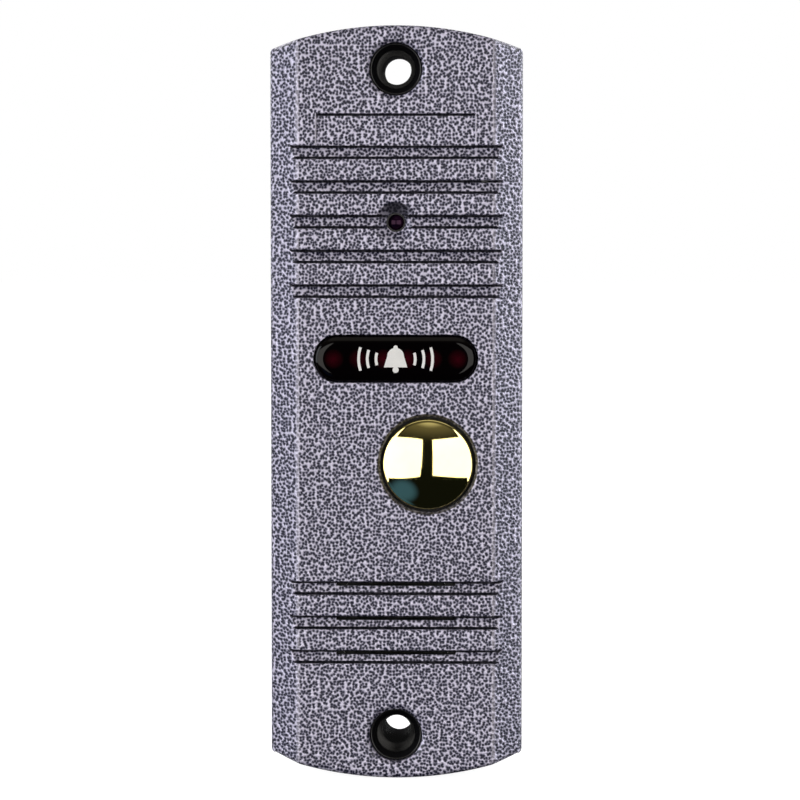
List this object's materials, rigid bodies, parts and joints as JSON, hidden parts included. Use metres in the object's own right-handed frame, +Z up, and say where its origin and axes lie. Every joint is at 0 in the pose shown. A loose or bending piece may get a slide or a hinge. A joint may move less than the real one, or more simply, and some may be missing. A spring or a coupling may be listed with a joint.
{
  "type": "video intercom door station",
  "caption": "Slim wall-mounted outdoor call panel with bevelled hammertone housing, pinhole camera, dark window, grooved speaker grille and domed call button.",
  "frame": {"origin": "centre of the flat wall face at the back of the panel", "axes": "+Z up the panel, +Y out of its back into the wall, so the front looks along -Y; +X to the right as seen from the front"},
  "size_m": [0.041, 0.024, 0.122],
  "materials": {
    "hammertone_paint": "satin",
    "gold_plate": "polished",
    "window_acrylic": "gloss",
    "white_print": "satin",
    "black_gloss_plastic": "gloss",
    "black_matte_plastic": "matte",
    "black_rubber": "matte",
    "zinc_screw_steel": "satin",
    "spring_steel": "satin",
    "circuit_board": "satin",
    "chip_epoxy": "matte",
    "nylon_connector": "satin",
    "lens_black": "satin",
    "lens_glass": "polished",
    "led_epoxy": "gloss",
    "brass_standoff": "satin",
    "capacitor_sleeve": "satin",
    "trimmer_blue": "satin",
    "speaker_steel": "satin",
    "copper_wire": "satin",
    "cone_paper": "matte",
    "lead_insulation": "satin"
  },
  "bodies": {
    "station": {"front_housing": "hammertone_paint", "window_lens": "window_acrylic", "call_symbol": "white_print", "back_cover": "black_gloss_plastic", "button_guide": "black_matte_plastic", "push_switch_body": "black_matte_plastic", "lens_mount": "black_matte_plastic", "led_connector": "black_matte_plastic", "window_seal": "black_rubber", "camera_gasket": "black_rubber", "speaker_gasket": "black_rubber", "mic_boot": "black_rubber", "cover_gasket": "black_rubber", "cable_grommet": "black_rubber", "speaker_surround": "black_rubber", "guide_screws": "zinc_screw_steel", "camera_screws": "zinc_screw_steel", "board_screws": "zinc_screw_steel", "speaker_screws": "zinc_screw_steel", "cover_screws": "zinc_screw_steel", "button_spring": "spring_steel", "main_board": "circuit_board", "camera_board": "circuit_board", "led_board": "circuit_board", "audio_ic": "chip_epoxy", "control_ic": "chip_epoxy", "voltage_regulator": "chip_epoxy", "light_sensor": "chip_epoxy", "image_sensor": "chip_epoxy", "camera_connector": "nylon_connector", "line_connector": "nylon_connector", "speaker_connector": "nylon_connector", "lens_barrel": "lens_black", "lens_lock_ring": "lens_black", "lens_glass": "lens_glass", "ir_led_1": "led_epoxy", "ir_led_2": "led_epoxy", "ir_led_3": "led_epoxy", "ir_led_4": "led_epoxy", "ir_led_5": "led_epoxy", "ir_led_6": "led_epoxy", "camera_standoffs": "brass_standoff", "capacitor_1": "capacitor_sleeve", "capacitor_2": "capacitor_sleeve", "capacitor_3": "capacitor_sleeve", "trimmer_body": "trimmer_blue", "speaker_basket": "speaker_steel", "speaker_yoke": "speaker_steel", "speaker_magnet": "speaker_steel", "speaker_clamp": "speaker_steel", "mic_capsule": "speaker_steel", "speaker_leads": "lead_insulation", "mic_leads": "lead_insulation"},
    "call_button": {"button_cap": "gold_plate", "button_carrier": "black_matte_plastic", "button_seal": "black_rubber"},
    "switch_plunger": {"push_switch_plunger": "nylon_connector"},
    "trimmer_knob": {"trimmer_rotor": "nylon_connector"},
    "speaker_moving": {"speaker_cone": "cone_paper", "voice_coil": "copper_wire"}
  },
  "joints": [
    {"name": "call_button_press", "type": "slide", "parent": "station", "child": "call_button", "axis": [0, 1, 0], "range_m": [0, 0.0012], "stiffness_N_per_m": 400, "springref_m": -0.002, "deforming": ["button_spring"]},
    {"name": "switch_plunger_travel", "type": "slide", "parent": "station", "child": "switch_plunger", "axis": [0, 1, 0], "range_m": [0, 0.0012]},
    {"name": "volume_trim", "type": "hinge", "parent": "station", "child": "trimmer_knob", "pos_m": [-0.009, -0.0042, -0.004], "axis": [0, 1, 0], "range_deg": [-130, 130]},
    {"name": "speaker_cone_travel", "type": "slide", "parent": "station", "child": "speaker_moving", "axis": [0, 1, 0], "range_m": [-0.0003, 0.0003], "stiffness_N_per_m": 1000, "deforming": ["speaker_surround"]}
  ],
  "couplings": [
    {"joint": "switch_plunger_travel", "follows": "call_button_press", "ratio": 1}
  ]
}
